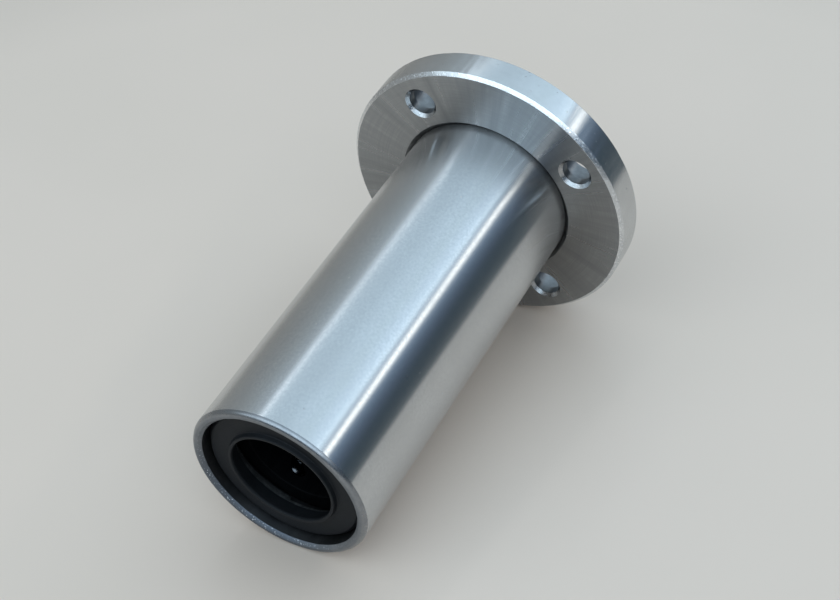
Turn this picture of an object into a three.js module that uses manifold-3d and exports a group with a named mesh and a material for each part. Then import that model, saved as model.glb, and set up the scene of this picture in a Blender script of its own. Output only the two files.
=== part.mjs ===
// Flanged linear ball bushing for a 16 mm shaft: one long ground sleeve with a round flange
// pressed on one end, and inside it two resin ball cages in tandem, each with five closed ball
// circuits, kept in by a retaining ring and a rubber end seal at each end.
// Millimetres. The bore runs along X, the flange is at the -X end, and the origin is the middle
// of the bore.
import * as THREE from 'three';
import { mergeVertices } from 'three/addons/utils/BufferGeometryUtils.js';
import Module from 'manifold-3d';

const wasm = await Module();
wasm.setup();

// Outside sizes
const LENGTH = 70;
const SLEEVE_R = 14;
const FLANGE_R = 24;
const FLANGE_T = 6;
const FLANGE_EDGE = 0.56; // chamfer on both rims of the flange
const FLANGE_FIT = 0.05; // gap between flange bore and sleeve
const FLANGE_BORE_EDGE = 0.7;
const BOLT_CIRCLE_R = 19;
const BOLT_COUNT = 4;
const BOLT_CLOCK = THREE.MathUtils.degToRad(30); // first bolt hole, turned about X from +Z towards -Y
const BOLT_R = 2.25;
const BOLT_EDGE = 0.5;
const HEAD_R = 3.75;
const HEAD_DEPTH = 4.1;

// Sleeve bore, with depths counted inwards from each end of the sleeve
const END_ROUND = 0.95; // axial length of the rounded outer edge
const CREST_R = 13.25; // outer edge of the flat ring that is left of the end face
const CREST_IN_R = 12.95;
const SEAT_R = 12.45; // the seal's seat
const SEAT_EDGE = 0.45;
const RELIEF_R = 12.35; // bore where the balls run back unloaded
const GROOVE_R = 13.0;
const GROOVE_DEPTH = 4.3;
const GROOVE_W = 1.1;

// Balls and their circuits
const SHAFT_R = 8;
const BALL_R = 1.5875;
const CIRCUITS = 5;
const CIRCUIT_CLOCK = THREE.MathUtils.degToRad(24); // first loaded row, turned about X from +Y towards +Z
const ROW_BALLS = 6;
const PITCH = 3.25;
const TURN_R = 2.27;
const TRACK_R = SHAFT_R + BALL_R; // the circuit's plane is this far from the bore's axis
const LAND_R = SHAFT_R + 2 * BALL_R + 0.025; // raceway, a hair clear of the balls
const LAND_HALF_ANGLE = THREE.MathUtils.degToRad(7);
const STRAIGHT = ROW_BALLS * PITCH;
const BEAD_NECK = 0.35;

// Cages, seals and retaining rings
const CAGE_R = 11.05;
const CAGE_BORE_R = 8.2;
const CAGE_DEPTH = 5.6; // from the sleeve's end to the cage
const CAGE_GAP = 0.4; // between the two cages
const CHANNEL_R = 1.8;
const RING_T = 0.9;
const RING_R = 12.85;
const RING_BORE_R = 10.6;
const RING_GAP = THREE.MathUtils.degToRad(34);
const SEAL_R = 12.35;
const SEAL_FACE_R = 11.75; // where the seal's face falls away to its edge
const SEAL_EDGE_DEPTH = 2.4;
const SEAL_FACE_DEPTH = 1.7;
const SEAL_BACK_DEPTH = 3.6;
const SEAL_BACK_R = 8.9;
const COLLAR_ROOT_R = 8.65;
const COLLAR_R = 8.51;
const COLLAR_IN_R = 8.05;
const COLLAR_DEPTH = 0.93;
const LIP_R = 7.95;
const LIP_DEPTH = 1.38;
const LIP_BACK_R = 8.5;
const LIP_BACK_DEPTH = 2.33;
const CORE_R = 12.2;
const CORE_BORE_R = 9.3;
const CORE_DEPTH = 3.65;
const CORE_T = 0.5;

// Facets
const ROUND = 40; // sides of every round part, with a flat at the top and bottom
const HOLE_SIDES = 16;
const BEAD_SIDES = 6;
const CHANNEL_SIDES = 8;
const TURN_STEPS = 5; // along each half turn of a ball channel
const ROUNDING_STEPS = 6; // along the sleeve's rounded ends
const RING_STEPS = 18; // along each edge of a retaining ring
const LAND_STEPS = 3;
const OUTSIDE = 1 / Math.cos(Math.PI / ROUND); // puts the flats of an outside at their real radius

const END = LENGTH / 2;
const SEAT_X = FLANGE_T - END; // the flange's seating face
const CAGE_OUT = END - CAGE_DEPTH;
const CAGE_IN = CAGE_GAP / 2;
const BANK_X = (CAGE_OUT + CAGE_IN) / 2; // middle of each cage's circuits

const steel = (color, roughness) => new THREE.MeshStandardMaterial({ color, roughness, metalness: 1 });
const sleeveSteel = steel(0xa4acb2, 0.25);
const flangeSteel = steel(0x9a9fa4, 0.35);
const ringSteel = steel(0x74797f, 0.4);
const ballSteel = steel(0xc9ced4, 0.08);
const sealRubber = new THREE.MeshStandardMaterial({ color: 0x24272b, roughness: 0.7, metalness: 0 });
const cageResin = new THREE.MeshStandardMaterial({ color: 0x141518, roughness: 0.55, metalness: 0 });

const bushing = new THREE.Group();

function place(name, geometry, material) {
  const mesh = new THREE.Mesh(geometry, material);
  mesh.name = name;
  bushing.add(mesh);
}

// A closed outline of [radius, x] points turned about X
function turned(outline) {
  const points = [...outline, outline[0]].map(([r, x]) => new THREE.Vector2(r, x));
  const geometry = new THREE.LatheGeometry(points, ROUND, Math.PI / ROUND);
  return geometry.rotateZ(-Math.PI / 2);
}

function solid(geometry) {
  const bare = geometry.clone();
  bare.deleteAttribute('normal');
  bare.deleteAttribute('uv');
  const merged = mergeVertices(bare, 1e-4);
  const vertProperties = new Float32Array(merged.attributes.position.array);
  const triVerts = new Uint32Array(merged.index.array);
  return new wasm.Manifold(new wasm.Mesh({ numProp: 3, vertProperties, triVerts }));
}

function surface(manifold) {
  const mesh = manifold.getMesh();
  const geometry = new THREE.BufferGeometry();
  geometry.setAttribute('position', new THREE.BufferAttribute(new Float32Array(mesh.vertProperties), 3));
  geometry.setIndex(new THREE.BufferAttribute(new Uint32Array(mesh.triVerts), 1));
  geometry.computeVertexNormals();
  return geometry;
}

const cut = (body, tools) => surface(tools.reduce((left, tool) => left.subtract(solid(tool)), solid(body)));
const join = (body, extras) => surface(extras.reduce((whole, extra) => whole.add(solid(extra)), solid(body)));

// Turns a part made for the free (+X) end to the flange end, and leaves the free end's as it is
function atEnd(geometry, end) {
  return end === 'flange' ? geometry.rotateY(Math.PI) : geometry;
}

// Unit vectors at an angle about X, counted from +Y towards +Z
const outward = (angle) => new THREE.Vector3(0, Math.cos(angle), Math.sin(angle));
const sideways = (angle) => new THREE.Vector3(0, -Math.sin(angle), Math.cos(angle));
const circuitAngle = (circuit) => CIRCUIT_CLOCK + (circuit * 2 * Math.PI) / CIRCUITS;

// Moves a circuit part drawn with X along the bore, Y sideways and Z outward to its place
function onCircuit(geometry, x, side, angle) {
  const home = outward(angle).multiplyScalar(TRACK_R).addScaledVector(sideways(angle), side);
  home.x = x;
  const axes = new THREE.Matrix4().makeBasis(new THREE.Vector3(-1, 0, 0), sideways(angle), outward(angle));
  return geometry.applyMatrix4(axes.setPosition(home));
}

// Half of the sleeve's outline, from its middle to the free end and back along the bore
function sleeveHalf() {
  const outside = [];
  for (let i = 0; i <= ROUNDING_STEPS; i += 1) {
    const turn = (i / ROUNDING_STEPS) * (Math.PI / 2);
    const r = CREST_R + (SLEEVE_R - CREST_R) * Math.cos(turn);
    outside.push([r * OUTSIDE, END - END_ROUND + END_ROUND * Math.sin(turn)]);
  }
  return [
    ...outside,
    [CREST_IN_R, END],
    [SEAT_R, END - SEAT_EDGE],
    [SEAT_R, END - GROOVE_DEPTH],
    [GROOVE_R, END - GROOVE_DEPTH],
    [GROOVE_R, END - GROOVE_DEPTH - GROOVE_W],
    [RELIEF_R, END - GROOVE_DEPTH - GROOVE_W],
  ];
}

// A raised raceway land on the bore over each loaded row, along X
function land(x, angle) {
  const buried = (RELIEF_R + SLEEVE_R) / 2;
  const section = new THREE.Shape();
  section.absarc(0, 0, buried, angle - LAND_HALF_ANGLE, angle + LAND_HALF_ANGLE, false);
  section.absarc(0, 0, LAND_R, angle + LAND_HALF_ANGLE, angle - LAND_HALF_ANGLE, true);
  const sweep = { depth: STRAIGHT, bevelEnabled: false, curveSegments: LAND_STEPS };
  const bar = new THREE.ExtrudeGeometry(section, sweep);
  const axes = new THREE.Matrix4().makeBasis(
    new THREE.Vector3(0, 1, 0),
    new THREE.Vector3(0, 0, 1),
    new THREE.Vector3(1, 0, 0),
  );
  return bar.applyMatrix4(axes.setPosition(x - STRAIGHT / 2, 0, 0));
}

function outerSleeve() {
  const half = sleeveHalf();
  const mirrored = half.map(([r, x]) => [r, -x]).reverse();
  const lands = [];
  for (let circuit = 0; circuit < CIRCUITS; circuit += 1) {
    lands.push(land(BANK_X, circuitAngle(circuit)), land(-BANK_X, circuitAngle(circuit)));
  }
  place('outer_sleeve', join(turned([...mirrored, ...half]), lands), sleeveSteel);
}

// A pin-shaped cutter along X from x0 to x1, tapering from r0 to r1, at the bolt circle
function boltCutter(index, x0, x1, r0, r1) {
  const angle = BOLT_CLOCK + (index * 2 * Math.PI) / BOLT_COUNT;
  const cutter = new THREE.CylinderGeometry(r1, r0, x1 - x0, HOLE_SIDES).rotateZ(-Math.PI / 2);
  return cutter.translate(
    (x0 + x1) / 2,
    -BOLT_CIRCLE_R * Math.sin(angle),
    BOLT_CIRCLE_R * Math.cos(angle),
  );
}

function flangeRing() {
  const past = 1;
  const r = FLANGE_R * OUTSIDE;
  const bore = (SLEEVE_R + FLANGE_FIT) * OUTSIDE;
  const ring = turned([
    [bore, -END],
    [bore, SEAT_X - FLANGE_BORE_EDGE],
    [bore + FLANGE_BORE_EDGE, SEAT_X],
    [r - FLANGE_EDGE, SEAT_X],
    [r, SEAT_X - FLANGE_EDGE],
    [r, FLANGE_EDGE - END],
    [r - FLANGE_EDGE, -END],
  ].reverse());
  const cutters = [];
  for (let i = 0; i < BOLT_COUNT; i += 1) {
    cutters.push(boltCutter(i, -END - past, SEAT_X + past, BOLT_R, BOLT_R));
    cutters.push(boltCutter(i, -END - past, HEAD_DEPTH - END, HEAD_R, HEAD_R));
    cutters.push(boltCutter(i, SEAT_X - BOLT_EDGE, SEAT_X + BOLT_EDGE, BOLT_R, BOLT_R + 2 * BOLT_EDGE));
  }
  place('flange_ring', cut(ring, cutters), flangeSteel);
}

// The closed path that a circuit's ball centres follow: X along the bore, Y sideways
class BallTrack extends THREE.Curve {
  constructor() {
    super();
    this.points = [];
    for (const end of [1, -1]) {
      for (let i = 0; i <= TURN_STEPS; i += 1) {
        const turn = (i / TURN_STEPS) * Math.PI;
        const x = end * (STRAIGHT / 2 + TURN_R * Math.sin(turn));
        this.points.push(new THREE.Vector3(x, -end * TURN_R * Math.cos(turn) + TURN_R, 0));
      }
    }
  }

  getPoint(t) {
    const at = t * this.points.length;
    const i = Math.floor(at) % this.points.length;
    const next = this.points[(i + 1) % this.points.length];
    return this.points[i].clone().lerp(next, at - Math.floor(at));
  }

  getPointAt(t) {
    return this.getPoint(t);
  }

  getTangentAt(t) {
    const step = 0.5 / this.points.length;
    return this.getPoint((t + step) % 1).sub(this.getPoint((t - step + 1) % 1)).normalize();
  }
}

function ballChannel(x, angle) {
  const track = new BallTrack();
  const channel = new THREE.TubeGeometry(track, track.points.length, CHANNEL_R, CHANNEL_SIDES, true);
  return onCircuit(channel, x, 0, angle);
}

// Resin tube with the five circuits' channels cut into it
function cage(end) {
  const tube = turned([
    [CAGE_BORE_R, CAGE_IN],
    [CAGE_R, CAGE_IN],
    [CAGE_R, CAGE_OUT],
    [CAGE_BORE_R, CAGE_OUT],
  ]);
  const x = end === 'flange' ? -BANK_X : BANK_X;
  const channels = [];
  for (let circuit = 0; circuit < CIRCUITS; circuit += 1) {
    channels.push(ballChannel(x, circuitAngle(circuit)));
  }
  place(`cage_${end}_end`, cut(atEnd(tube, end), channels), cageResin);
}

// Spring steel ring with a gap, sprung into the sleeve's groove
function retainingRing(end) {
  const section = new THREE.Shape();
  const from = -Math.PI / 2 + RING_GAP / 2;
  const to = from + 2 * Math.PI - RING_GAP;
  section.absarc(0, 0, RING_R, from, to, false);
  section.absarc(0, 0, RING_BORE_R, to, from, true);
  const sweep = { depth: RING_T, bevelEnabled: false, curveSegments: RING_STEPS };
  const ring = new THREE.ExtrudeGeometry(section, sweep);
  ring.rotateY(Math.PI / 2).rotateX(Math.PI / 2);
  ring.translate(END - GROOVE_DEPTH - (GROOVE_W + RING_T) / 2, 0, 0);
  place(`retaining_ring_${end}_end`, atEnd(ring, end), ringSteel);
}

// Flat rubber disc with a raised collar round the shaft and a wiping lip inside it
function endSeal(end) {
  const at = (r, depth) => [r, END - depth];
  const seal = turned([
    at(SEAL_R, SEAL_BACK_DEPTH),
    at(SEAL_R, SEAL_EDGE_DEPTH),
    at(SEAL_FACE_R, SEAL_FACE_DEPTH),
    at(COLLAR_ROOT_R, SEAL_FACE_DEPTH),
    at(COLLAR_R, COLLAR_DEPTH),
    at(COLLAR_IN_R, COLLAR_DEPTH),
    at(LIP_R, LIP_DEPTH),
    at(LIP_BACK_R, LIP_BACK_DEPTH),
    at(SEAL_BACK_R, SEAL_BACK_DEPTH),
  ]);
  place(`end_seal_${end}_end`, atEnd(seal, end), sealRubber);
}

// Steel washer that stiffens the seal from behind
function sealCore(end) {
  const front = END - CORE_DEPTH;
  const back = front - CORE_T;
  const core = turned([[CORE_BORE_R, back], [CORE_R, back], [CORE_R, front], [CORE_BORE_R, front]]);
  place(`seal_core_${end}_end`, atEnd(core, end), ringSteel);
}

// One ball's half outline, from the neck that it shares with the ball before it, as [radius, x]
function beadOutline(centre, reach) {
  const slope = THREE.MathUtils.degToRad(50);
  return [
    [BALL_R * Math.sin(slope), centre - BALL_R * Math.cos(slope)],
    [BALL_R, centre],
    [BALL_R * Math.sin(slope), centre + BALL_R * Math.cos(slope)],
    [BEAD_NECK, centre + reach],
  ];
}

// A row of balls along X, centred on the origin, joined where each meets the next
function beads(count, pitch) {
  const reach = pitch / 2;
  const first = (-(count - 1) * pitch) / 2;
  const outline = [[0, first - BALL_R]];
  for (let i = 0; i < count; i += 1) {
    outline.push(...beadOutline(first + i * pitch, reach));
  }
  outline[outline.length - 1] = [0, -outline[0][1]];
  const points = outline.map(([r, x]) => new THREE.Vector2(r, x));
  return new THREE.LatheGeometry(points, BEAD_SIDES).rotateZ(-Math.PI / 2);
}

function ballRow(name, x, side, angle) {
  place(name, onCircuit(beads(ROW_BALLS, PITCH), x, side, angle), ballSteel);
}

// The two balls in a circuit's turn, an eighth of a circle either side of its middle
function ballTurn(name, x, toward, angle) {
  const eighth = Math.PI / 4;
  const pair = beads(2, 2 * TURN_R * Math.sin(eighth)).rotateZ(Math.PI / 2);
  pair.translate(-toward * TURN_R * Math.cos(eighth), 0, 0);
  place(name, onCircuit(pair, x + (toward * STRAIGHT) / 2, TURN_R, angle), ballSteel);
}

function ballCircuit(end, circuit) {
  const out = end === 'flange' ? -1 : 1;
  const x = out * BANK_X;
  const angle = circuitAngle(circuit);
  const tag = `${end}_${circuit + 1}`;
  ballRow(`load_balls_${tag}`, x, 0, angle);
  ballRow(`return_balls_${tag}`, x, 2 * TURN_R, angle);
  ballTurn(`outboard_turn_balls_${tag}`, x, out, angle);
  ballTurn(`inboard_turn_balls_${tag}`, x, -out, angle);
}

outerSleeve();
flangeRing();
for (const end of ['flange', 'free']) {
  endSeal(end);
  sealCore(end);
  retainingRing(end);
  cage(end);
  for (let circuit = 0; circuit < CIRCUITS; circuit += 1) {
    ballCircuit(end, circuit);
  }
}

export default bushing;
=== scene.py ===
import math

import bmesh
import bpy
from mathutils import Matrix, Quaternion, Vector, noise


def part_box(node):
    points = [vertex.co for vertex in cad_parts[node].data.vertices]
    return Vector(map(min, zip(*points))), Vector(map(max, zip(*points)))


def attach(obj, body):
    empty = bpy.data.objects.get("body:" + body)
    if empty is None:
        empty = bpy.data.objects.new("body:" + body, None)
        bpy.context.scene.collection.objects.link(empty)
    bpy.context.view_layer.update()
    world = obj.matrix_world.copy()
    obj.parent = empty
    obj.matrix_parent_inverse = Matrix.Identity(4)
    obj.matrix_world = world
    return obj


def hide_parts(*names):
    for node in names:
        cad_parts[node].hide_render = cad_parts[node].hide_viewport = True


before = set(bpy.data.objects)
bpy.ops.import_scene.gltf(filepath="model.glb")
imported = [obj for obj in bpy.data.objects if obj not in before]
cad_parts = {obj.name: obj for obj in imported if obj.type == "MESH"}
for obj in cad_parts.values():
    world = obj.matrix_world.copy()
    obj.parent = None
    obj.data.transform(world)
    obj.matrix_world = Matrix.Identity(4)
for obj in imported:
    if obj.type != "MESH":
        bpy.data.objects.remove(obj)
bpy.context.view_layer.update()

MM = 0.001

# ---------------------------------------------------------------- sizes taken from the frame
sleeve_low, sleeve_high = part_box("outer_sleeve")
flange_low, flange_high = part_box("flange_ring")
END = sleeve_high.x
SLEEVE_R = sleeve_high.z
FLANGE_R = flange_high.z
SEAT_X = flange_high.x
ENDS = {"flange": -1, "free": 1}
CIRCUITS = 5
CIRCUIT_CLOCK = math.radians(24)  # first loaded row, turned about X from +Y towards +Z

# ---------------------------------------------------------------- sizes inside and along edges
END_ROUND = 0.95 * MM  # the sleeve's rounded outer edge, along X
CREST_R = 13.25 * MM
CREST_IN_R = 12.95 * MM
SEAT_R = 12.45 * MM
SEAT_EDGE = 0.45 * MM
RELIEF_R = 12.35 * MM
GROOVE_R = 13.0 * MM
GROOVE_DEPTH = 4.3 * MM
GROOVE_W = 1.1 * MM

FLANGE_EDGE = 0.56 * MM
FLANGE_FIT = 0.05 * MM
FLANGE_BORE_EDGE = 0.7 * MM
BOLT_CIRCLE_R = 19 * MM
BOLT_COUNT = 4
BOLT_CLOCK = math.radians(30)  # first hole, turned about X from +Z towards -Y
BOLT_R = 2.25 * MM
BOLT_EDGE = 0.49 * MM
HEAD_R = 3.75 * MM
HEAD_DEPTH = 4.1 * MM
HEAD_EDGE = 0.2 * MM

SHAFT_R = 8 * MM
BALL_R = 1.5875 * MM
ROW_BALLS = 6
PITCH = 3.25 * MM
TURN_R = 2.27 * MM
TRACK_R = SHAFT_R + BALL_R
LAND_R = SHAFT_R + 2 * BALL_R + 0.025 * MM
LAND_HALF_ANGLE = math.radians(7)
STRAIGHT = ROW_BALLS * PITCH

CAGE_R = 11.05 * MM
CAGE_BORE_R = 8.2 * MM
CAGE_DEPTH = 5.6 * MM
CAGE_GAP = 0.4 * MM
CHANNEL_R = 1.72 * MM
BANK_X = (END - CAGE_DEPTH + CAGE_GAP / 2) / 2

RING_T = 0.9 * MM
RING_R = 12.85 * MM
RING_BORE_R = 10.6 * MM
RING_GAP = math.radians(34)

SEAL_R = 12.35 * MM
SEAL_FACE_R = 11.75 * MM
SEAL_EDGE_DEPTH = 2.4 * MM
SEAL_FACE_DEPTH = 1.7 * MM
SEAL_BACK_DEPTH = 3.6 * MM
SEAL_BACK_R = 8.9 * MM
COLLAR_ROOT_R = 8.65 * MM
COLLAR_R = 8.51 * MM
COLLAR_IN_R = 8.05 * MM
COLLAR_DEPTH = 0.93 * MM
LIP_R = 7.95 * MM
LIP_DEPTH = 1.38 * MM
LIP_BACK_R = 8.5 * MM
LIP_BACK_DEPTH = 2.33 * MM
CORE_R = 12.2 * MM
CORE_BORE_R = 9.3 * MM
CORE_DEPTH = 3.65 * MM
CORE_T = 0.5 * MM

# ---------------------------------------------------------------- fineness
ROUND = 480  # sides of the large turned parts
SMALL_ROUND = 96
FILLET_STEPS = 4
BALL_FINENESS = 4  # subdivisions, where the shaft's side of the ball shows
HIDDEN_BALL_FINENESS = 3
SHARP = math.radians(32)  # corners sharper than this are real edges
NEAR = 0.1 * MM  # so close to an edge still counts as on it
SKIN = 0.02 * MM  # and so close to a surface

SHADED_SIDE = math.radians(232)  # the side where the sleeve's end is painted darker as shade, about X from +Y towards +Z
QUARTER_TURN = 0.25  # reflections spread across the marks, not along them


# ================================================================ materials
class Nodes:
    """A node tree, and short ways to add to it."""

    def __init__(self, tree):
        self.nodes = tree.nodes
        self.links = tree.links

    def add(self, kind, **settings):
        """A node. Settings that name an input set or link it, and the others are properties."""
        node = self.nodes.new("ShaderNode" + kind)
        for key, value in settings.items():
            if key in node.inputs:
                self.feed(node.inputs[key], value)
            else:
                setattr(node, key, value)
        return node

    def feed(self, socket, value):
        if isinstance(value, bpy.types.NodeSocket):
            self.links.new(value, socket)
        else:
            socket.default_value = value

    def math(self, operation, *values):
        node = self.add("Math", operation=operation)
        for socket, value in zip(node.inputs, values):
            self.feed(socket, value)
        return node.outputs[0]

    def between(self, value, low, high, curve="LINEAR"):
        """A share that runs from 0 where the value is low to 1 where it is high."""
        spread = self.add("MapRange", interpolation_type=curve, Value=value)
        spread.inputs["From Min"].default_value = low
        spread.inputs["From Max"].default_value = high
        return spread.outputs["Result"]

    def blend(self, share, start, stop, kind="MIX"):
        """Colours blended by a share. Each is a socket, or red, green and blue."""
        node = self.add("Mix", data_type="RGBA", blend_type=kind)
        share_in, start_in, stop_in = node.inputs[0], node.inputs[6], node.inputs[7]
        self.feed(share_in, share)
        for socket, colour in ((start_in, start), (stop_in, stop)):
            self.feed(socket, (*colour, 1) if isinstance(colour, tuple) else colour)
        return node.outputs[2]


class Look(Nodes):
    """A Principled material and the procedural layers that feed it, measured in millimetres."""

    def __init__(self, name, colour, metallic, roughness):
        self.material = bpy.data.materials.new(name)
        self.material.use_nodes = True
        super().__init__(self.material.node_tree)
        self.shader = self.nodes["Principled BSDF"]
        self.shader.inputs["Metallic"].default_value = metallic
        self.shader.inputs["Base Color"].default_value = (*colour, 1)
        self.shader.inputs["Roughness"].default_value = roughness
        self.colour = colour
        self.roughness = roughness
        self.height = None
        position = self.add("TexCoord").outputs["Object"]
        self.position = self.add("VectorMath", operation="SCALE", Vector=position, Scale=1 / MM).outputs[0]

    def split(self):
        return self.add("SeparateXYZ", Vector=self.position).outputs

    def radius(self):
        """Distance from the bore's axis."""
        _, y, z = self.split()
        flat = self.add("CombineXYZ", Y=y, Z=z).outputs[0]
        return self.add("VectorMath", operation="LENGTH", Vector=flat).outputs["Value"]

    def around(self, along, across):
        """Coordinates for marks round the bore. A larger across makes them shorter round it."""
        _, y, z = self.split()
        radius = self.radius()
        y = self.math("MULTIPLY", self.math("DIVIDE", y, radius), across)
        z = self.math("MULTIPLY", self.math("DIVIDE", z, radius), across)
        return self.add("CombineXYZ", X=along, Y=y, Z=z).outputs[0]

    def noise(self, scale, detail=3.0, roughness=0.5, vector=None, low=0.35, high=0.65):
        """Noise with so many features a millimetre, stretched to run from 0 to 1."""
        place = vector or self.position
        source = self.add("TexNoise", Vector=place, Scale=scale, Detail=detail, Roughness=roughness)
        return self.between(source.outputs[0], low, high)

    def marks(self, along, density, shortness, **settings):
        """Noise in marks that run round the bore, so many a millimetre."""
        place = self.around(self.math("MULTIPLY", along, density), shortness)
        return self.noise(1.0, vector=place, **settings)

    def specks(self, scale, size):
        """Sparse round specks, 1 inside each."""
        cells = self.add("TexVoronoi", Vector=self.position, Scale=scale, Randomness=1.0)
        return self.between(cells.outputs["Distance"], size, size * 0.6)

    def tint(self, mask, colour, amount=1.0):
        """Blends the colour towards another by a mask, and by so much of it."""
        if amount != 1.0:
            mask = self.math("MULTIPLY", mask, amount)
        socket = self.shader.inputs["Base Color"]
        start = socket.links[0].from_socket if socket.is_linked else self.colour
        self.links.new(self.blend(mask, start, colour), socket)

    def roughen(self, mask, change):
        """Adds change to the roughness where the mask is 1."""
        socket = self.shader.inputs["Roughness"]
        start = socket.links[0].from_socket if socket.is_linked else self.roughness
        self.links.new(self.math("MULTIPLY_ADD", mask, change, start), socket)

    def raise_by(self, mask, height):
        """Adds a height in millimetres to the surface relief where the mask is 1."""
        if self.height is None:
            self.height = self.math("MULTIPLY", mask, height)
        else:
            self.height = self.math("MULTIPLY_ADD", mask, height, self.height)

    def brush(self, amount):
        """Spreads reflections across marks that run round the bore."""
        self.shader.inputs["Anisotropic"].default_value = amount
        self.shader.inputs["Anisotropic Rotation"].default_value = QUARTER_TURN
        tangent = self.add("Tangent", direction_type="RADIAL", axis="X")
        self.links.new(tangent.outputs[0], self.shader.inputs["Tangent"])

    def done(self):
        if self.height is not None:
            bump = self.add("Bump", Height=self.height, Strength=1.0, Distance=MM)
            self.links.new(bump.outputs[0], self.shader.inputs["Normal"])
        return self.material


def ground_steel():
    """Hardened bearing steel, centreless ground: a mirror round the sleeve, satin along it."""
    look = Look("ground_steel", (0.60, 0.61, 0.615), 1.0, 0.2)
    x = look.split()[0]
    grind = look.marks(x, 26, 6, detail=2.0)
    mottle = look.noise(2.6, detail=4.0, roughness=0.62)
    cloud = look.noise(0.09, detail=2.0)
    specks = look.specks(0.33, 0.035)
    look.tint(cloud, (0.57, 0.575, 0.575))
    look.tint(mottle, (0.535, 0.545, 0.555), 0.9)
    look.tint(specks, (0.22, 0.21, 0.20), 0.55)
    look.roughen(mottle, 0.03)
    look.roughen(cloud, 0.015)
    look.roughen(specks, 0.2)
    look.raise_by(mottle, 0.0005)
    look.raise_by(grind, 0.00012)
    look.brush(1.0)
    return look.done()


def end_steel():
    """The sleeve's turned and rounded ends: dull, with painted shade darkening the lower side, and bright
    nicks on the inner edge, most of them on that side.
    """
    look = Look("end_steel", (0.29, 0.30, 0.315), 1.0, 0.25)
    radius = look.radius()
    _, y, z = look.split()
    rings = look.marks(radius, 14, 5, detail=3.0)
    blotch = look.noise(0.9, detail=5.0, roughness=0.65)
    # painted shade: a share that grows towards the lower side of the end, which is coloured darker there
    below = look.math("MULTIPLY_ADD", z, math.sin(SHADED_SIDE), look.math("MULTIPLY", y, math.cos(SHADED_SIDE)))
    wear_and_painted_shade = look.between(look.math("DIVIDE", below, radius), 0.35, 0.85)
    crest = look.between(radius, (CREST_R + 0.3 * MM) / MM, CREST_R / MM)
    nick = look.noise(3.4, detail=3.0, roughness=0.6, low=0.60, high=0.66)
    off_edge = look.math("ABSOLUTE", look.math("SUBTRACT", radius, (SEAT_R + 0.3 * MM) / MM))
    nick = look.math("MULTIPLY", nick, look.between(off_edge, 0.3, 0.15))
    nick = look.math("MULTIPLY", nick, look.math("MULTIPLY_ADD", wear_and_painted_shade, 0.8, 0.2))
    look.tint(blotch, (0.24, 0.25, 0.265))
    # painted shade: the lower side of the end is coloured darker blue-grey
    look.tint(wear_and_painted_shade, (0.10, 0.12, 0.155), 0.95)
    look.tint(crest, (0.20, 0.215, 0.235), 0.4)
    look.tint(nick, (0.85, 0.88, 0.92))
    look.roughen(blotch, 0.08)
    look.roughen(crest, 0.24)
    look.roughen(nick, -0.25)
    look.raise_by(rings, 0.0015)
    look.raise_by(nick, 0.03)
    return look.done()


def shaded_bore_steel():
    """The sleeve's bore, grooves and seal seats: ground, with a patchy oil film, the base colour kept dark
    as painted shade.
    """
    # painted shade: a colour far darker than steel, for the bore that lies in shade
    look = Look("shaded_bore_steel", (0.14, 0.145, 0.155), 1.0, 0.3)
    x = look.split()[0]
    rings = look.marks(x, 12, 4, detail=3.0)
    film = look.noise(0.35, detail=4.0, roughness=0.6)
    look.tint(film, (0.09, 0.092, 0.097))
    look.roughen(film, 0.12)
    look.raise_by(rings, 0.0015)
    look.brush(0.4)
    return look.done()


def turned_face_steel():
    """The flange's faces: fine concentric tool marks that fan the light out along the radius."""
    look = Look("turned_face_steel", (0.47, 0.48, 0.485), 1.0, 0.26)
    radius = look.radius()
    fine = look.marks(radius, 11, 2.2, detail=3.0, roughness=0.6)
    coarse = look.marks(radius, 2.3, 2.0, detail=2.0)
    arcs = look.marks(radius, 6, 3, detail=4.0, roughness=0.7)
    fan = look.marks(radius, 0.04, 16, detail=4.0, roughness=0.65, low=0.28, high=0.72)
    rays = look.marks(radius, 0.02, 4, detail=2.0)
    blotch = look.noise(0.5, detail=4.0, roughness=0.6)
    look.tint(rays, (0.27, 0.28, 0.29), 0.45)
    look.tint(fan, (0.25, 0.26, 0.265), 0.8)
    look.tint(arcs, (0.28, 0.29, 0.30), 0.7)
    look.tint(blotch, (0.33, 0.34, 0.35), 0.4)
    look.roughen(fan, 0.06)
    look.raise_by(fine, 0.0035)
    look.raise_by(coarse, 0.003)
    look.brush(1.0)
    return look.done()


def turned_rim_steel():
    """The flange's rim: bright turned steel with a few small pits."""
    look = Look("turned_rim_steel", (0.60, 0.61, 0.615), 1.0, 0.22)
    x = look.split()[0]
    lines = look.marks(x, 9, 3, detail=3.0)
    cloud = look.noise(0.4, detail=5.0, roughness=0.65)
    pits = look.noise(1.6, detail=3.0, roughness=0.55, low=0.70, high=0.74)
    look.tint(cloud, (0.54, 0.55, 0.555), 0.5)
    look.tint(pits, (0.25, 0.25, 0.25))
    look.roughen(cloud, 0.03)
    look.roughen(pits, 0.2)
    look.raise_by(lines, 0.0004)
    look.raise_by(pits, -0.006)
    look.brush(1.0)
    return look.done()


def chamfer_steel(name, brightness):
    """The flange's chamfers: cut bright, and nicked by handling. A brightness below 1 makes a darker copy
    that paints shade.
    """

    def steel(*colour):
        return tuple(part * brightness for part in colour)

    look = Look(name, steel(0.66, 0.67, 0.68), 1.0, 0.2)
    nick = look.noise(3.2, detail=3.0, roughness=0.65, low=0.55, high=0.62)
    tarnish = look.noise(0.7, detail=4.0, roughness=0.6)
    look.tint(tarnish, steel(0.52, 0.53, 0.54), 0.6)
    look.tint(nick, steel(0.88, 0.90, 0.92))
    look.roughen(tarnish, 0.08)
    look.roughen(nick, -0.08)
    look.raise_by(nick, 0.006)
    return look.done()


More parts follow.
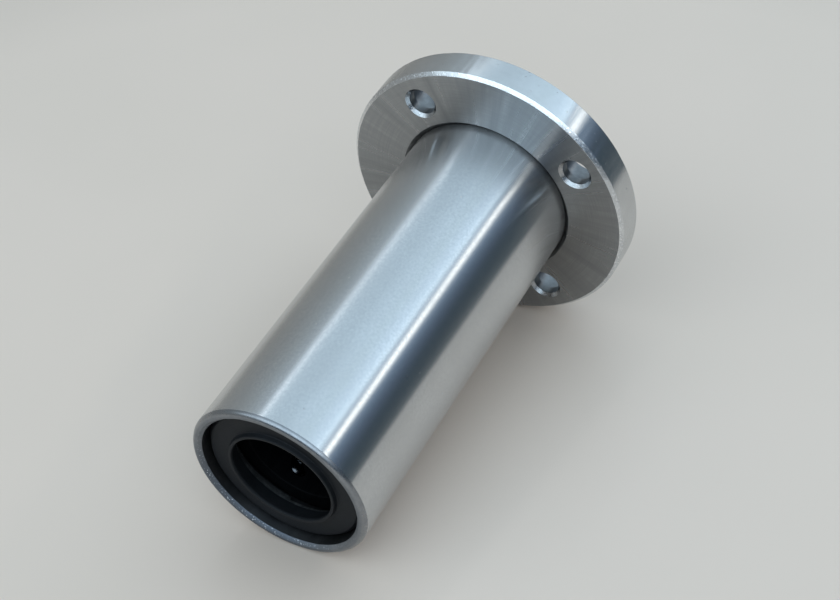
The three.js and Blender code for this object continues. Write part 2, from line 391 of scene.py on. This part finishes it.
def drilled_steel():
    """The walls of the holes, and the flange's bore with its chamfer: smooth cut steel."""
    look = Look("drilled_steel", (0.23, 0.235, 0.24), 1.0, 0.3)
    x = look.split()[0]
    feed = look.marks(x, 7, 14, detail=2.0)
    tarnish = look.noise(0.6, detail=3.0, roughness=0.5)
    look.tint(tarnish, (0.16, 0.165, 0.17))
    look.roughen(tarnish, 0.08)
    look.raise_by(feed, 0.001)
    return look.done()


def spring_steel():
    """Phosphated spring steel of the retaining rings and seal cores."""
    look = Look("spring_steel", (0.20, 0.21, 0.22), 1.0, 0.38)
    grain = look.noise(6.0, detail=4.0, roughness=0.6)
    wear_and_painted_shade = look.noise(0.7, detail=4.0, roughness=0.6, low=0.5, high=0.7)
    look.tint(grain, (0.15, 0.155, 0.16))
    look.tint(wear_and_painted_shade, (0.33, 0.34, 0.35))
    look.roughen(grain, 0.12)
    look.raise_by(grain, 0.002)
    return look.done()


def ball_steel():
    """Lapped chrome steel balls under a thin film of oil, their colour kept dark as painted shade in the
    bore.
    """
    # painted shade: a colour far darker than chrome steel, for balls in the shade of the bore
    look = Look("ball_steel", (0.10, 0.105, 0.115), 1.0, 0.14)
    film = look.noise(0.8, detail=3.0)
    grain = look.noise(9.0, detail=2.0)
    look.tint(film, (0.06, 0.063, 0.067))
    look.roughen(film, 0.05)
    look.raise_by(grain, 0.00012)
    return look.done()


def seal_rubber():
    """Moulded nitrile rubber, charcoal, with a faint grain and a little dust."""
    look = Look("seal_rubber", (0.006, 0.0073, 0.009), 0.0, 0.48)
    grain = look.noise(7.0, detail=4.0, roughness=0.6)
    bloom = look.noise(0.35, detail=4.0, roughness=0.6)
    dust = look.specks(0.9, 0.05)
    look.tint(bloom, (0.009, 0.0103, 0.0125))
    look.tint(dust, (0.10, 0.10, 0.10), 0.5)
    look.roughen(grain, 0.12)
    look.roughen(bloom, 0.06)
    look.raise_by(grain, 0.003)
    look.shader.inputs["Specular IOR Level"].default_value = 0.22
    return look.done()


def cage_resin():
    """Moulded black resin, slightly glossy, with faint flow marks along the cage."""
    look = Look("cage_resin", (0.0018, 0.0019, 0.0022), 0.0, 0.4)
    flow = look.add("VectorMath", operation="MULTIPLY", Vector=look.position)
    flow.inputs[1].default_value = (0.15, 1.0, 1.0)
    streak = look.noise(1.3, vector=flow.outputs[0], detail=4.0, roughness=0.6)
    grain = look.noise(5.0, detail=3.0)
    look.tint(streak, (0.003, 0.0032, 0.0036))
    look.roughen(streak, 0.12)
    look.raise_by(grain, 0.0015)
    look.shader.inputs["Specular IOR Level"].default_value = 0.03
    return look.done()


# ================================================================ mesh work
def outline_eased(outline, size):
    """The closed outline with each real corner rounded off over about size."""
    count = len(outline)
    most = 0.4  # share of a side that the rounding of one corner may take
    eased = []
    for i, corner in enumerate(outline):
        here = Vector(corner)
        back = Vector(outline[i - 1]) - here
        ahead = Vector(outline[(i + 1) % count]) - here
        if back.angle(-ahead) < SHARP:
            eased.append(here)
            continue
        start = here + back.normalized() * min(size, back.length * most)
        stop = here + ahead.normalized() * min(size, ahead.length * most)
        for step in range(FILLET_STEPS + 1):
            t = step / FILLET_STEPS
            eased.append(start * (1 - t) ** 2 + here * 2 * t * (1 - t) + stop * t ** 2)
    return eased


def around_x(radius, x, angle):
    return Vector((x, radius * math.cos(angle), radius * math.sin(angle)))


def revolved(outline, sides, shape=None):
    """A bmesh of the closed outline of (radius, x) points turned about X.

    shape(radius, x, angle) may return another radius for a point.
    """
    mesh = bmesh.new()
    rings = []
    for side in range(sides):
        angle = side * math.tau / sides
        ring = []
        for radius, x in outline:
            reach = shape(radius, x, angle) if shape else radius
            ring.append(mesh.verts.new(around_x(reach, x, angle)))
        rings.append(ring)
    count = len(outline)
    for side in range(sides):
        here, after = rings[side], rings[(side + 1) % sides]
        for i in range(count):
            j = (i + 1) % count
            mesh.faces.new((here[i], here[j], after[j], after[i]))
    return mesh


def piece(name, mesh, looks, pick=None):
    """An object of the bmesh. pick(centre, normal) chooses among the looks for each face."""
    bmesh.ops.recalc_face_normals(mesh, faces=mesh.faces)
    # a closed tube can come out of that inside out
    if mesh.calc_volume(signed=True) < 0:
        bmesh.ops.reverse_faces(mesh, faces=mesh.faces)
    data = bpy.data.meshes.new(name)
    mesh.to_mesh(data)
    mesh.free()
    thing = bpy.data.objects.new(name, data)
    bpy.context.scene.collection.objects.link(thing)
    for look in looks:
        data.materials.append(look)
    finish_surface(data, pick)
    return thing


def finish_surface(data, pick=None):
    """Smooth shading between real edges, and each face's look."""
    for face in data.polygons:
        face.use_smooth = True
        if pick:
            face.material_index = pick(face.center, face.normal)
    data.set_sharp_from_angle(angle=SHARP)


def stands_for(thing, body, slot, *nodes):
    """The piece takes the nodes' place and moves with the body. The slot is not used."""
    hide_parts(*nodes)
    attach(thing, body)


def carve(thing, cutter):
    """Cuts the cutter out of the piece for good, and removes it."""
    cut = thing.modifiers.new("cut", "BOOLEAN")
    cut.operation = "DIFFERENCE"
    cut.solver = "EXACT"
    cut.object = cutter
    graph = bpy.context.evaluated_depsgraph_get()
    carved = bpy.data.meshes.new_from_object(thing.evaluated_get(graph))
    thing.modifiers.clear()
    thing.data = carved
    carved.name = thing.name
    bpy.data.objects.remove(cutter)


def nicked(amount, scale, seed):
    """A function of a place that is 0 on most of an edge and up to amount in the nicks on it."""
    offset = Vector((seed, seed * 2, seed * 3))
    fine_share = 0.4
    untouched = 0.18

    def depth(place):
        coarse = noise.noise(place * scale / MM + offset)
        fine = noise.noise(place * scale * 3 / MM + offset)
        return amount * max(0.0, coarse + fine_share * fine - untouched) ** 0.8

    return depth


def circuit_angle(circuit):
    return CIRCUIT_CLOCK + circuit * math.tau / CIRCUITS


def from_land(angle):
    """Angle from the nearest raceway land."""
    step = math.tau / CIRCUITS
    return abs((angle - CIRCUIT_CLOCK + step / 2) % step - step / 2)


# ================================================================ the steel sleeve
def sleeve_half():
    """Half of the sleeve's outline, from near its middle to the free end and back along the bore."""
    rounding = 14
    outside = []
    for i in range(rounding + 1):
        turn = i / rounding * math.pi / 2
        radius = CREST_R + (SLEEVE_R - CREST_R) * math.cos(turn)
        outside.append((radius, END - END_ROUND + END_ROUND * math.sin(turn)))
    ramp = 0.3 * MM
    far, near = BANK_X + STRAIGHT / 2, BANK_X - STRAIGHT / 2
    land_ends = [far + ramp, far, near, near - ramp]
    return [
        (SLEEVE_R, END * 0.5),
        *outside,
        (CREST_IN_R, END),
        (SEAT_R, END - SEAT_EDGE),
        (SEAT_R, END - GROOVE_DEPTH),
        (GROOVE_R, END - GROOVE_DEPTH),
        (GROOVE_R, END - GROOVE_DEPTH - GROOVE_W),
        (RELIEF_R, END - GROOVE_DEPTH - GROOVE_W),
        *[(RELIEF_R, x) for x in land_ends],
    ]


def make_sleeve():
    half = sleeve_half()
    outline = [(r, -x) for r, x in reversed(half)] + half
    outline = outline_eased(outline, 0.07 * MM)
    nick = nicked(0.11 * MM, 0.55, 4.0)
    slope = math.radians(1.2)
    end_look_depth = END_ROUND + 1.3 * MM

    def shape(radius, x, angle):
        on_relief = abs(radius - RELIEF_R) < 0.001 * MM
        if on_relief and abs(abs(x) - BANK_X) < STRAIGHT / 2 + NEAR:
            rise = (LAND_HALF_ANGLE + slope - from_land(angle)) / slope
            return RELIEF_R + (LAND_R - RELIEF_R) * min(1.0, max(0.0, rise))
        if abs(x) > END - SEAT_EDGE - NEAR and SEAT_R - SKIN < radius < CREST_IN_R + NEAR:
            return radius + nick(around_x(radius, x, angle))
        return radius

    looks = [ground_steel(), end_steel(), shaded_bore_steel()]
    outside, end, bore = range(3)

    def pick(centre, normal):
        if math.hypot(centre.y, centre.z) > SLEEVE_R - SKIN:
            return outside
        return end if abs(centre.x) > END - end_look_depth else bore

    sleeve = piece("ground_sleeve", revolved(outline, ROUND, shape), looks, pick)
    stands_for(sleeve, "bearing", "sleeve_steel", "outer_sleeve")


# ================================================================ the flange
def bolt_angle(index):
    return math.pi / 2 + BOLT_CLOCK + index * math.tau / BOLT_COUNT


def bolt_cutter():
    """All the bolt holes as solids: through hole, counterbore and their chamfers."""
    past = 1 * MM
    outline = [
        (0, -END - past),
        (HEAD_R + HEAD_EDGE, -END - past),
        (HEAD_R + HEAD_EDGE, -END),
        (HEAD_R, -END + HEAD_EDGE),
        (HEAD_R, -END + HEAD_DEPTH),
        (BOLT_R, -END + HEAD_DEPTH),
        (BOLT_R, SEAT_X - BOLT_EDGE),
        (BOLT_R + BOLT_EDGE, SEAT_X),
        (BOLT_R + BOLT_EDGE, SEAT_X + past),
        (0, SEAT_X + past),
    ]
    holes = bmesh.new()
    for index in range(BOLT_COUNT):
        centre = around_x(BOLT_CIRCLE_R, 0, bolt_angle(index))
        rings = []
        for side in range(SMALL_ROUND):
            angle = side * math.tau / SMALL_ROUND
            rings.append([holes.verts.new(centre + around_x(r, x, angle)) for r, x in outline[1:-1]])
        caps = [holes.verts.new(centre + Vector((x, 0, 0))) for _, x in (outline[0], outline[-1])]
        for side in range(SMALL_ROUND):
            here, after = rings[side], rings[(side + 1) % SMALL_ROUND]
            for i in range(len(here) - 1):
                holes.faces.new((here[i], here[i + 1], after[i + 1], after[i]))
            holes.faces.new((caps[0], here[0], after[0]))
            holes.faces.new((caps[1], after[-1], here[-1]))
    return piece("bolt_cutter", holes, [])


def make_flange():
    bore = SLEEVE_R + FLANGE_FIT
    outline = [
        (bore, -END),
        (bore, SEAT_X - FLANGE_BORE_EDGE),
        (bore + FLANGE_BORE_EDGE, SEAT_X),
        (FLANGE_R - FLANGE_EDGE, SEAT_X),
        (FLANGE_R, SEAT_X - FLANGE_EDGE),
        (FLANGE_R, -END + FLANGE_EDGE),
        (FLANGE_R - FLANGE_EDGE, -END),
    ]
    outline = outline_eased(outline, 0.06 * MM)
    nick = nicked(0.06 * MM, 0.6, 9.0)

    def shape(radius, x, angle):
        at_rim = radius > FLANGE_R - FLANGE_EDGE - NEAR
        at_face = min(abs(x - SEAT_X), abs(x + END)) < FLANGE_EDGE + NEAR
        return radius - nick(around_x(radius, x, angle)) if at_rim and at_face else radius

    # the hole chamfers get a copy at 0.6 brightness: painted shade in the holes
    looks = [turned_face_steel(), turned_rim_steel(), chamfer_steel("rim_chamfer_steel", 1.0),
             drilled_steel(), chamfer_steel("hole_chamfer_steel_painted_shade", 0.6)]
    face, rim, rim_chamfer, wall, hole_chamfer = range(5)
    bore_edge = SLEEVE_R + 1.5 * MM

    def pick(centre, normal):
        """The look by how squarely the face of the mesh looks along the bore, and by its radius."""
        radius = math.hypot(centre.y, centre.z)
        along = abs(normal.x)
        if radius > FLANGE_R - FLANGE_EDGE - NEAR and along < 0.95:
            return rim if along < 0.3 else rim_chamfer
        if along > 0.9:
            return face
        return hole_chamfer if along > 0.5 and radius > bore_edge else wall

    flange = piece("bolted_flange", revolved(outline, ROUND, shape), looks)
    carve(flange, bolt_cutter())
    finish_surface(flange.data, pick)
    stands_for(flange, "bearing", "flange_steel", "flange_ring")


# ================================================================ seals, rings and cages
def at_end(outline, end):
    """Turns an outline made for the free end to the end asked for."""
    return [(r, ENDS[end] * x) for r, x in outline]


def make_seal(end, look):
    outline = [
        (SEAL_R, END - SEAL_BACK_DEPTH),
        (SEAL_R, END - SEAL_EDGE_DEPTH),
        (SEAL_FACE_R, END - SEAL_FACE_DEPTH),
        (COLLAR_ROOT_R, END - SEAL_FACE_DEPTH),
        (COLLAR_R, END - COLLAR_DEPTH),
        (COLLAR_IN_R, END - COLLAR_DEPTH),
        (LIP_R, END - LIP_DEPTH),
        (LIP_BACK_R, END - LIP_BACK_DEPTH),
        (SEAL_BACK_R, END - SEAL_BACK_DEPTH),
    ]
    outline = outline_eased(at_end(outline, end), 0.16 * MM)
    seal = piece(f"rubber_seal_{end}_end", revolved(outline, ROUND // 2), [look])
    stands_for(seal, "bearing", "seal_rubber", f"end_seal_{end}_end")


def make_core(end, look):
    front, back = END - CORE_DEPTH, END - CORE_DEPTH - CORE_T
    outline = [(CORE_BORE_R, back), (CORE_R, back), (CORE_R, front), (CORE_BORE_R, front)]
    outline = outline_eased(at_end(outline, end), 0.08 * MM)
    core = piece(f"seal_stiffener_{end}_end", revolved(outline, ROUND // 2), [look])
    stands_for(core, "bearing", "ring_steel", f"seal_core_{end}_end")


def make_ring(end, look):
    """The open retaining ring: an eased section swept round, with its two ends closed."""
    middle = END - GROOVE_DEPTH - GROOVE_W / 2
    section = [(RING_BORE_R, middle - RING_T / 2), (RING_R, middle - RING_T / 2),
               (RING_R, middle + RING_T / 2), (RING_BORE_R, middle + RING_T / 2)]
    section = outline_eased(at_end(section, end), 0.12 * MM)
    steps = 180
    mesh = bmesh.new()
    rings = []
    for step in range(steps + 1):
        angle = -math.pi / 2 + RING_GAP / 2 + step / steps * (math.tau - RING_GAP)
        rings.append([mesh.verts.new(around_x(r, x, angle)) for r, x in section])
    for here, after in zip(rings, rings[1:]):
        for i in range(len(section)):
            j = (i + 1) % len(section)
            mesh.faces.new((here[i], here[j], after[j], after[i]))
    mesh.faces.new(rings[0])
    mesh.faces.new(list(reversed(rings[-1])))
    ring = piece(f"spring_ring_{end}_end", mesh, [look])
    stands_for(ring, "bearing", "ring_steel", f"retaining_ring_{end}_end")


def track_points():
    """A circuit's path: X along the bore and Y sideways from the loaded row, with its direction."""
    turn_steps = 24
    for toward in (1, -1):
        for step in range(turn_steps + 1):
            turn = step / turn_steps * math.pi
            x = toward * (STRAIGHT / 2 + TURN_R * math.sin(turn))
            side = TURN_R * (1 - toward * math.cos(turn))
            yield Vector((x, side)), toward * Vector((math.cos(turn), math.sin(turn)))


def on_circuit(angle, x, side, out=0.0):
    """A place in a circuit's plane: along X, sideways from its loaded row, and outward from the plane."""
    outward = around_x(1, 0, angle)
    sideways = around_x(1, 0, angle + math.pi / 2)
    return Vector((x, 0, 0)) + outward * (TRACK_R + out) + sideways * side


def channel_cutter(middle):
    """The five ball channels of a cage as closed tubes."""
    sides = 24
    tubes = bmesh.new()
    for circuit in range(CIRCUITS):
        angle = circuit_angle(circuit)
        rings = []
        for point, heading in track_points():
            across = Vector((heading.y, -heading.x))
            ring = []
            for side in range(sides):
                turn = side * math.tau / sides
                spot = point + across * CHANNEL_R * math.cos(turn)
                out = CHANNEL_R * math.sin(turn)
                ring.append(tubes.verts.new(on_circuit(angle, middle + spot.x, spot.y, out)))
            rings.append(ring)
        for k, here in enumerate(rings):
            after = rings[(k + 1) % len(rings)]
            for i in range(sides):
                j = (i + 1) % sides
                tubes.faces.new((here[i], here[j], after[j], after[i]))
    return piece("channel_cutter", tubes, [])


def make_cage(end, look):
    outline = [(CAGE_BORE_R, CAGE_GAP / 2), (CAGE_R, CAGE_GAP / 2),
               (CAGE_R, END - CAGE_DEPTH), (CAGE_BORE_R, END - CAGE_DEPTH)]
    outline = outline_eased(at_end(outline, end), 0.25 * MM)
    cage = piece(f"ball_cage_{end}_end", revolved(outline, ROUND // 2), [look])
    carve(cage, channel_cutter(ENDS[end] * BANK_X))
    finish_surface(cage.data)
    stands_for(cage, "bearing", "cage_resin", f"cage_{end}_end")


# ================================================================ the balls
def make_balls(name, node, centres, look, fineness):
    mesh = bmesh.new()
    for centre in centres:
        place = Matrix.Translation(centre)
        bmesh.ops.create_icosphere(mesh, subdivisions=fineness, radius=BALL_R, matrix=place)
    balls = piece(name, mesh, [look])
    stands_for(balls, node, "ball_steel", node)


def make_circuit(end, circuit, look):
    """One circuit's balls: the loaded row, the return row and the pair in each turn."""
    angle = circuit_angle(circuit)
    tag = f"{end}_{circuit + 1}"
    middle = ENDS[end] * BANK_X
    along = [(i - (ROW_BALLS - 1) / 2) * PITCH for i in range(ROW_BALLS)]
    loaded = [on_circuit(angle, middle + x, 0) for x in along]
    returning = [on_circuit(angle, middle + x, 2 * TURN_R) for x in along]
    make_balls(f"loaded_row_{tag}", f"load_balls_{tag}", loaded, look, BALL_FINENESS)
    make_balls(f"returning_row_{tag}", f"return_balls_{tag}", returning, look, HIDDEN_BALL_FINENESS)
    eighth = TURN_R * math.sin(math.pi / 4)
    for place, toward in (("outboard", ENDS[end]), ("inboard", -ENDS[end])):
        x = middle + toward * (STRAIGHT / 2 + eighth)
        pair = [on_circuit(angle, x, TURN_R - eighth), on_circuit(angle, x, TURN_R + eighth)]
        make_balls(f"{place}_turn_{tag}", f"{place}_turn_balls_{tag}", pair, look, HIDDEN_BALL_FINENESS)


# ================================================================ stage, light and camera
def floor_angle():
    """How far the floor rises towards the free end, between the two edges that the part lies on."""
    drop = FLANGE_R - SLEEVE_R
    run = (END - END_ROUND) - (SEAT_X - FLANGE_EDGE)
    return math.atan2(drop, run)


def make_floor():
    """A round table top under the flange's rim and the free end, with painted shade darkening it towards
    its edge.
    """
    reach = 235 * MM
    clearance = 0.03 * MM
    dims_from, dims_to = 150, 400  # distances from the middle, in millimetres
    tilt = floor_angle()
    contact = Vector((SEAT_X - FLANGE_EDGE, 0, -FLANGE_R))
    normal = Vector((-math.sin(tilt), 0, math.cos(tilt)))
    along = Vector((math.cos(tilt), 0, math.sin(tilt)))
    centre = contact - normal * clearance + along * (END - SEAT_X) / 2
    mesh = bmesh.new()
    place = Matrix.Translation(centre) @ Matrix.Rotation(-tilt, 4, "Y")
    bmesh.ops.create_circle(mesh, cap_ends=True, segments=SMALL_ROUND, radius=reach, matrix=place)
    look = Look("pale_floor", (0.69, 0.565, 0.475), 0.0, 0.4)
    look.tint(look.noise(0.02, detail=2.0), (0.675, 0.555, 0.465))
    from_middle = look.add("VectorMath", operation="DISTANCE", Vector=look.position)
    from_middle.inputs[1].default_value = centre / MM
    # painted shade: the floor darkens with distance from the middle
    dimming = look.between(from_middle.outputs["Value"], dims_from, dims_to)
    look.tint(dimming, (0.3, 0.26, 0.22))
    floor = piece("floor", mesh, [look.done()])


# The light from each side of the studio, by angle round X in degrees from +Y over the top towards -Y
STUDIO = (
    (-12, (0.13, 0.16, 0.18)),
    (-2, (0.068, 0.097, 0.12)),
    (10, (0.068, 0.099, 0.13)),
    (20, (0.13, 0.18, 0.26)),
    (28, (0.23, 0.33, 0.46)),
    (32.4, (0.34, 0.46, 0.60)),
    (33.8, (2.5, 2.6, 2.6)),  # bright strip along the light panel
    (37.2, (2.5, 2.6, 2.6)),
    (38.6, (0.36, 0.48, 0.62)),
    (41, (0.44, 0.58, 0.74)),
    (45, (1.16, 1.46, 1.70)),  # near edge of the light panel
    (47.6, (1.16, 1.46, 1.70)),
    (50, (0.98, 1.25, 1.50)),
    (56, (0.89, 1.14, 1.36)),
    (66, (0.80, 1.03, 1.20)),
    (78, (0.78, 1.00, 1.18)),
    (95, (0.67, 0.86, 1.01)),
    (115, (0.67, 0.86, 1.01)),
    (116.8, (0.80, 1.00, 1.16)),
    (118, (1.75, 2.0, 2.2)),  # far edge of the light panel
    (120.2, (1.75, 2.0, 2.2)),
    (121.6, (0.55, 0.66, 0.75)),
    (140, (0.40, 0.46, 0.49)),
    (160, (0.34, 0.37, 0.385)),
    (192, (0.33, 0.34, 0.33)),
)

STUDIO_START = -90  # the angle at the ramp's start, where the ramp's ends meet

# Limits on the light's direction, a unit vector: a share runs from 0 at the first value to 1 at the second
PANEL_END = (("X", 0.79, 0.88),)  # the panel ends and the dim room starts
ROOM = (0.09, 0.12, 0.16)
FILL_LIMITS = (("X", 0.1, 0.5), ("Z", 0.42, 0.6))
FILL = (0.95, 1.15, 1.30)  # the panel is so much brighter over the free end
BACKDROP = (0.60, 0.61, 0.60)


def within(tree, direction, limits):
    """The shares of the limits multiplied together."""
    share = None
    for axis, low, high in limits:
        one = tree.between(direction[axis], low, high, "SMOOTHSTEP")
        share = one if share is None else tree.math("MULTIPLY", share, one)
    return share


def studio_ramp(tree, direction):
    """The light by its angle round X."""
    angle = tree.math("ARCTAN2", direction["Z"], direction["Y"])
    past_start = tree.math("SUBTRACT", angle, math.radians(STUDIO_START))
    turn = tree.math("DIVIDE", tree.math("FLOORED_MODULO", past_start, math.tau), math.tau)
    ramp = tree.add("ValToRGB", Fac=turn)
    stops = ramp.color_ramp.elements
    for index, (degrees, light) in enumerate(STUDIO):
        at = (degrees - STUDIO_START) / 360
        stop = stops[index] if index < 2 else stops.new(at)
        stop.position = at
        stop.color = (*light, 1)
    return ramp.outputs[0]


def make_studio():
    """A long light panel over the bore in a grey room that is dim beyond the free end.

    The camera sees a plain backdrop in its place.
    """
    world = bpy.data.worlds.new("studio")
    bpy.context.scene.world = world
    world.use_nodes = True
    world.node_tree.nodes.clear()
    tree = Nodes(world.node_tree)
    direction = tree.add("SeparateXYZ", Vector=tree.add("TexCoord").outputs["Generated"]).outputs
    light = studio_ramp(tree, direction)
    light = tree.blend(within(tree, direction, FILL_LIMITS), light, FILL, "ADD")
    light = tree.blend(within(tree, direction, PANEL_END), light, ROOM)
    studio = tree.add("Background", Color=light)
    backdrop = tree.add("Background", Color=(*BACKDROP, 1))
    choice = tree.add("MixShader", Fac=tree.add("LightPath").outputs["Is Camera Ray"])
    tree.links.new(studio.outputs[0], choice.inputs[1])
    tree.links.new(backdrop.outputs[0], choice.inputs[2])
    tree.add("OutputWorld", Surface=choice.outputs[0])


def make_camera():
    """A short telephoto above and beyond the free end, turned a little on its own axis."""
    lens = 68.3
    aim = Vector((-3.17, 2.20, 1.37)) * MM
    distance = 239.7 * MM
    azimuth = math.radians(125.2)
    elevation = math.radians(44.16)
    roll = math.radians(-9.83)
    level = Vector((math.sin(azimuth), -math.cos(azimuth), 0))
    back = level * math.cos(elevation) + Vector((0, 0, math.sin(elevation)))
    camera = bpy.data.objects.new("camera", bpy.data.cameras.new("camera"))
    camera.data.lens = lens
    camera.data.clip_start = 0.01
    camera.location = aim + back * distance
    camera.rotation_mode = "QUATERNION"
    camera.rotation_quaternion = (-back).to_track_quat("-Z", "Y") @ Quaternion((0, 0, 1), roll)
    bpy.context.scene.collection.objects.link(camera)
    bpy.context.scene.camera = camera


make_camera()
make_studio()
make_floor()
bpy.context.scene.view_settings.view_transform = "Standard"

make_sleeve()
make_flange()
rubber, resin, spring, chrome = seal_rubber(), cage_resin(), spring_steel(), ball_steel()
for end in ENDS:
    make_seal(end, rubber)
    make_core(end, spring)
    make_ring(end, spring)
    make_cage(end, resin)
    for circuit in range(CIRCUITS):
        make_circuit(end, circuit, chrome)
